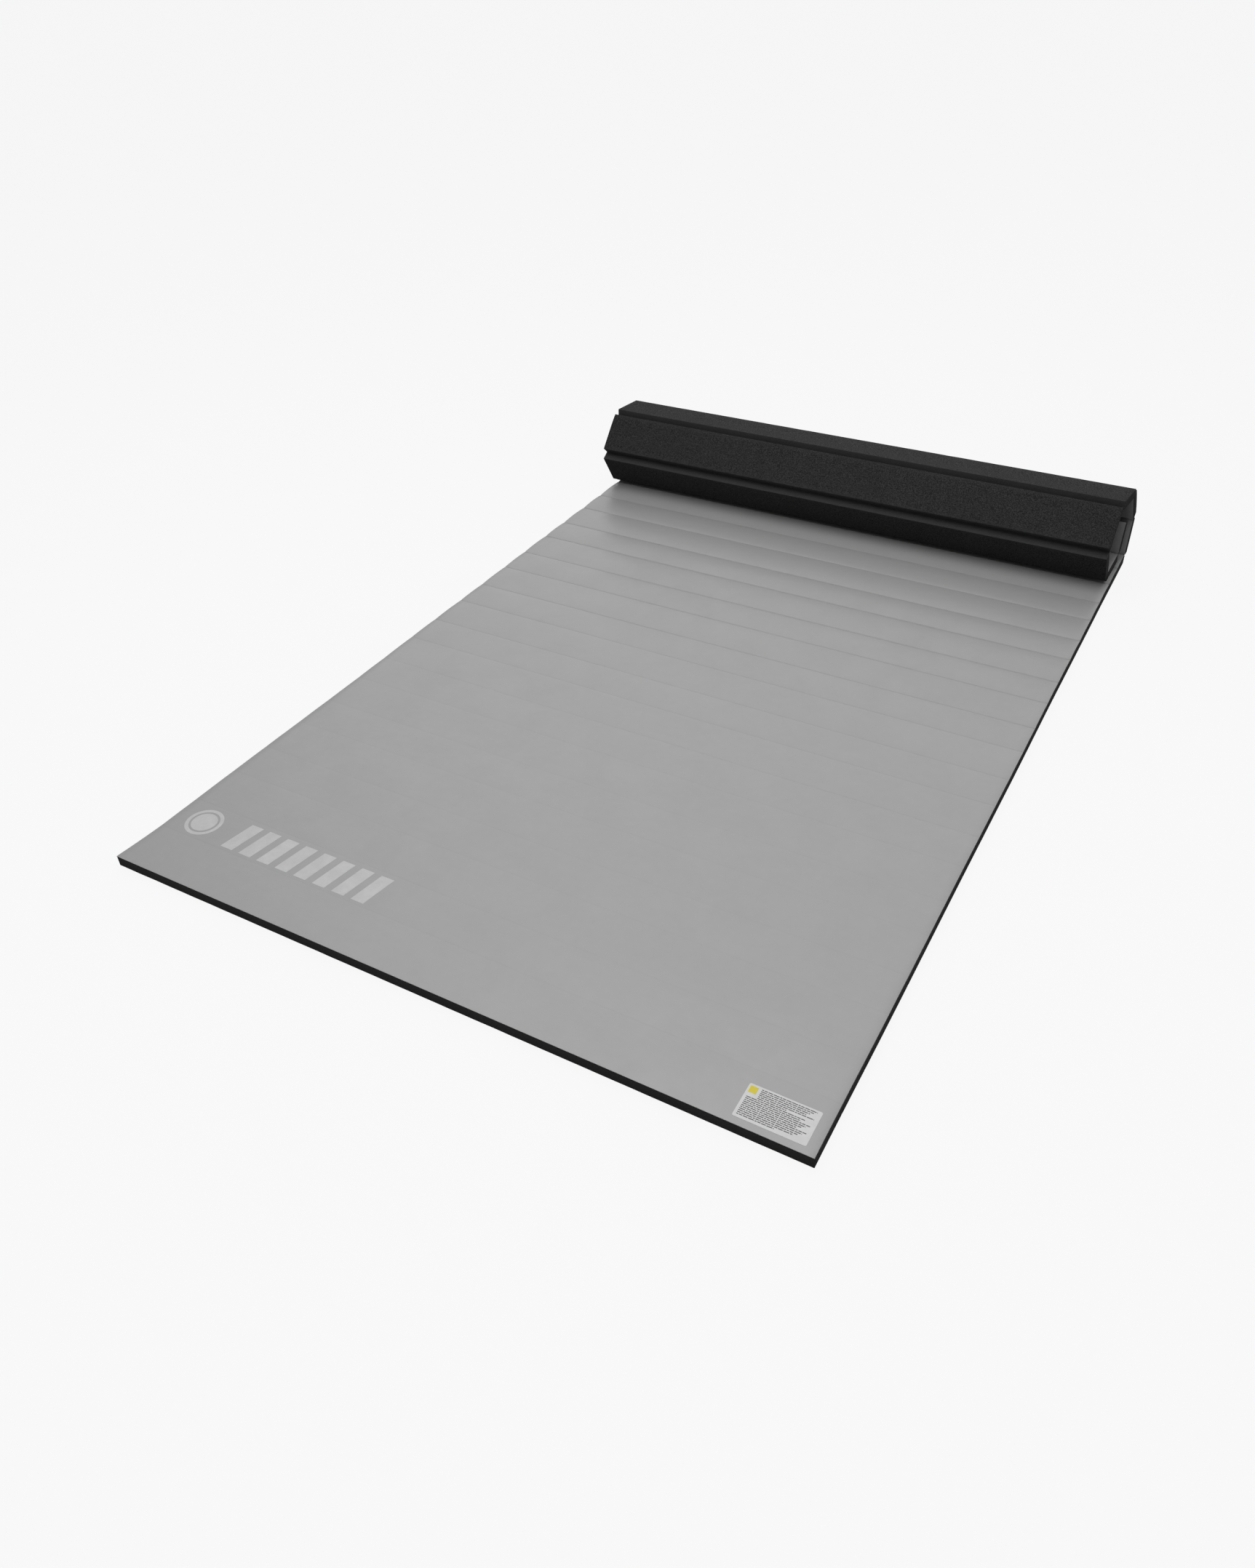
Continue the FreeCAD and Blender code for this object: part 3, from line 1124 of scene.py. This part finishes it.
@dataclass(frozen=True)
class CareLabel(SurfaceFilm):
    """A white sticker with rounded corners, grey bars in place of text and a plain yellow patch.

    Attributes:
        corner: the radius of its corners.
        corner_steps: the steps in that rounding.
        strips: how many strips it is cut into each way, so that it can follow the sheet.
        film: the sticker's thickness.
        print_film: the thickness of what is printed on it.
        margin: the unprinted border.
        head_rows: how many rows are beside the patch.
        rows: how many rows there are in all.
        row_height: the height of a row's bars, as a share of the space for it.
        row_fill: the share of the printed width that most rows fill.
        last_fill: the same of the last row in a block.
        ragged: how much less than that the next row fills.
        word: the length of the shortest bar.
        word_step: how much longer each next length of bar is.
        word_gap: the gap between two bars.
        variety: how many lengths of bars and of rows there are.
        patch: the side of the yellow patch.
    """

    corner: float = 0.003
    corner_steps: int = 6
    strips: int = 6
    film: float = 0.0003
    print_film: float = 0.00006
    margin: float = 0.0038
    head_rows: int = 6
    rows: int = 17
    row_height: float = 0.46
    row_fill: float = 0.96
    last_fill: float = 0.55
    ragged: float = 0.05
    word: float = 0.0035
    word_step: float = 0.0022
    word_gap: float = 0.0012
    variety: int = 4
    patch: float = 0.014

    def build(self, paper: Material, grey_ink: Material, yellow_ink: Material) -> Object:
        """Makes the label on its slat."""
        slat = self.layout.slat_under(frame["nodes"]["care_label"]["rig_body"])
        low, high = self.flat_box("care_label", slat)
        low.z, high.z = 0.0, self.film
        bm = box_mesh(low, high)
        bevel(bm, edges_along(bm, Axis.UP), self.corner, self.corner_steps)
        self.cut_strips(bm, low, high)
        for row in range(self.rows):
            self.add_row(bm, low, high, row)
        self.add_patch(bm, low, high)
        self.lay(bm, slat)
        piece = finish_piece("care_sticker", bm, slat, [paper, grey_ink, yellow_ink])
        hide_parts("care_label")
        return piece

    def cut_strips(self, bm: BMesh, low: Vector, high: Vector) -> None:
        """Cuts the sticker into strips both ways."""
        for axis in (Axis.ACROSS.value, Axis.ALONG.value):
            for step in range(1, self.strips):
                place = low.copy()
                place[axis] += (high[axis] - low[axis]) * step / self.strips
                across = Vector((0.0, 0.0, 0.0))
                across[axis] = 1.0
                everything = bm.verts[:] + bm.edges[:] + bm.faces[:]
                bmesh.ops.bisect_plane(bm, geom=everything, plane_co=place, plane_no=across)

    @staticmethod
    def add_block(bm: BMesh, low: Vector, high: Vector, part: LabelPart) -> None:
        """Adds one printed block on the sticker."""
        before = set(bm.faces)
        add_box(bm, low, high)
        for face in set(bm.faces) - before:
            face.material_index = part.value

    def add_row(self, bm: BMesh, low: Vector, high: Vector, row: int) -> None:
        """Adds one row of short grey bars, with a ragged right end.

        Args:
            bm: the label's mesh.
            low: its low corner.
            high: its high corner.
            row: the row's number, from 0 at the top.
        """
        step = (high.y - low.y - 2 * self.margin) / self.rows
        top = high.y - self.margin - row * step
        bottom = top - step * self.row_height
        base, up = self.film - self.print_film / 2, self.film + self.print_film
        left = low.x + self.margin * 1.4
        if row < self.head_rows:
            left += self.patch + self.margin
        right = high.x - self.margin
        fill = self.last_fill if row in (self.head_rows - 1, self.rows - 1) else self.row_fill
        end = left + (right - left) * (fill - self.ragged * (row % self.variety))
        x = left
        number = 0
        while x < end:
            length = self.word + self.word_step * ((3 * row + number) % self.variety)
            stop = min(x + length, end)
            self.add_block(bm, Vector((x, bottom, base)), Vector((stop, top, up)), LabelPart.GREY_INK)
            x = stop + self.word_gap
            number += 1

    def add_patch(self, bm: BMesh, low: Vector, high: Vector) -> None:
        """Adds the plain yellow patch near the far left corner."""
        left, top = low.x + self.margin, high.y - self.margin * 1.1
        near = Vector((left, top - self.patch, self.film - self.print_film / 2))
        far = Vector((left + self.patch, top, self.film + self.print_film))
        self.add_block(bm, near, far, LabelPart.YELLOW_INK)


# --------------------------------------------------------------------------------------------------- studio


@dataclass(frozen=True)
class SoftBox:
    """A round soft light over the mat.

    Attributes:
        power: its power in watts.
        aim: the point that it faces.
        towards: the direction from that point to the light.
        distance: how far away it is.
        diameter: its width.
    """

    power: float = 124.0
    aim: tuple[float, float, float] = (0.35, 0.1, 0.0)
    towards: tuple[float, float, float] = (-0.1, -0.16, 0.98)
    distance: float = 3.8
    diameter: float = 4.6

    def build(self) -> Object:
        """Makes the light."""
        light = bpy.data.lights.new("soft_box", "AREA")
        light.shape = "DISK"
        light.size = self.diameter
        light.energy = self.power
        direction = Vector(self.towards).normalized()
        lamp = bpy.data.objects.new("soft_box", light)
        lamp.location = Vector(self.aim) + direction * self.distance
        lamp.rotation_euler = direction.to_track_quat("Z", "Y").to_euler()
        bpy.context.scene.collection.objects.link(lamp)
        return lamp


@dataclass(frozen=True)
class BackLight:
    """A wide even light from low behind the roll, as from a lit backdrop.

    Attributes:
        strength: its strength.
        towards: the direction that it comes from.
        width: how wide it is seen, in degrees.
    """

    strength: float = 0.75
    towards: tuple[float, float, float] = (-0.25, 0.8, 0.55)
    width: float = 60.0

    def build(self) -> Object:
        """Makes the light."""
        light = bpy.data.lights.new("back_light", "SUN")
        light.energy = self.strength
        light.angle = math.radians(self.width)
        lamp = bpy.data.objects.new("back_light", light)
        lamp.rotation_euler = Vector(self.towards).to_track_quat("Z", "Y").to_euler()
        bpy.context.scene.collection.objects.link(lamp)
        return lamp


@dataclass(frozen=True)
class Studio:
    """The pale floor, the soft light and the camera.

    Attributes:
        camera_place: where the camera is.
        azimuth: which way it looks, in degrees clockwise from +Y seen from above.
        pitch: how far down it looks, in degrees.
        tilt: how far it is turned about its own axis, in degrees.
        lens: its focal length in millimetres.
        sensor: the sensor's width in millimetres.
        sight: how far the camera sees.
        floor_size: the side of the floor.
        floor_drop: how far the floor is below the mat's underside.
        backdrop: the radius of the round backdrop.
        backdrop_sides: the backdrop's sides round it and from bottom to top.
        pale: the colour of the floor and the backdrop.
        glow: how strongly they glow by themselves, so that hardly any shadow shows on them.
        sky: the strength of the even light from all round.
        soft_box: the light over the mat.
        back_light: the light from behind.
    """

    camera_place: tuple[float, float, float] = (1.1012, -2.2586, 1.6368)
    azimuth: float = -30.43
    pitch: float = 37.563
    tilt: float = -1.81
    lens: float = 28.0
    sensor: float = 36.0
    sight: float = 200.0
    floor_size: float = 80.0
    floor_drop: float = 0.0002
    backdrop: float = 38.0
    backdrop_sides: tuple[int, int] = (64, 32)
    pale: float = 0.04
    glow: float = 0.905
    sky: float = 0.18
    soft_box: SoftBox = SoftBox()
    back_light: BackLight = BackLight()

    def build(self) -> None:
        """Makes the whole studio."""
        bpy.context.scene.view_settings.view_transform = "Standard"
        self.add_surroundings()
        self.add_sky()
        self.soft_box.build()
        self.back_light.build()
        self.add_camera()

    def add_surroundings(self) -> None:
        """Adds the floor just under everything, and a backdrop all round it."""
        material = bpy.data.materials.new("studio_pale")
        material.use_nodes = True
        shader = material.node_tree.nodes["Principled BSDF"]
        shader.inputs["Base Color"].default_value = shade(self.pale)
        shader.inputs["Roughness"].default_value = 1.0
        shader.inputs["Specular IOR Level"].default_value = 0.0
        shader.inputs["Emission Color"].default_value = shade(1.0)
        shader.inputs["Emission Strength"].default_value = self.glow
        floor = bmesh.new()
        bmesh.ops.create_grid(floor, x_segments=1, y_segments=1, size=self.floor_size / 2)
        bmesh.ops.translate(floor, vec=(0.0, 0.0, -self.floor_drop), verts=floor.verts)
        self.add_pale("studio_floor", floor, material)
        dome = bmesh.new()
        round_it, upwards = self.backdrop_sides
        bmesh.ops.create_uvsphere(dome, u_segments=round_it, v_segments=upwards, radius=self.backdrop)
        bmesh.ops.reverse_faces(dome, faces=dome.faces)
        self.add_pale("studio_backdrop", dome, material).visible_shadow = False

    def add_pale(self, name: str, bm: BMesh, material: Material) -> Object:
        """Adds one pale surface that is seen but throws no light on the mat.

        Args:
            name: the surface's name.
            bm: its mesh, which is used up.
            material: its finish.

        Returns:
            The surface.
        """
        mesh = bpy.data.meshes.new(name)
        bm.to_mesh(mesh)
        bm.free()
        mesh.materials.append(material)
        surface = bpy.data.objects.new(name, mesh)
        surface.visible_diffuse = False
        surface.visible_glossy = False
        bpy.context.scene.collection.objects.link(surface)
        return surface

    def add_sky(self) -> None:
        """Adds an even light from all round."""
        world = bpy.data.worlds.new("studio_sky")
        world.use_nodes = True
        background = world.node_tree.nodes["Background"]
        background.inputs["Color"].default_value = shade(1.0)
        background.inputs["Strength"].default_value = self.sky
        bpy.context.scene.world = world

    def add_camera(self) -> None:
        """Adds the camera."""
        camera = bpy.data.cameras.new("camera")
        camera.lens = self.lens
        camera.sensor_width = self.sensor
        camera.clip_end = self.sight
        holder = bpy.data.objects.new("camera", camera)
        turn = (
            Matrix.Rotation(math.radians(-self.azimuth), 4, "Z")
            @ Matrix.Rotation(math.radians(90.0 - self.pitch), 4, "X")
            @ Matrix.Rotation(math.radians(self.tilt), 4, "Z")
        )
        holder.matrix_world = Matrix.Translation(self.camera_place) @ turn
        bpy.context.scene.collection.objects.link(holder)
        bpy.context.scene.camera = holder


def main() -> None:
    """Builds the mat from its foam up, then the studio."""
    logging.basicConfig(level=logging.INFO, format="%(message)s")
    layout = MatLayout.from_frame()
    shape = SurfaceShape(layout.half_width)
    effects = Effects()
    foam = FoamSlats(layout, shape).build(FoamFinish(effects).build())
    vinyl, backing_shade = VinylFinish(effects).build(), BackingShadeFinish(effects).build()
    VinylSheet(layout, shape).build(vinyl, backing_shade, foam)
    CornerPrint(layout, shape).build(InkFinish(effects).build())
    paper = StickerFinish(effects, "label", (0.6, 0.6, 0.6)).build()
    grey_ink = StickerFinish(effects, "label_text_ink", (0.06, 0.06, 0.06)).build()
    yellow_ink = StickerFinish(effects, "label_patch_ink", (0.62, 0.52, 0.015)).build()
    CareLabel(layout, shape).build(paper, grey_ink, yellow_ink)
    Studio().build()


if __name__ == "__main__":
    main()
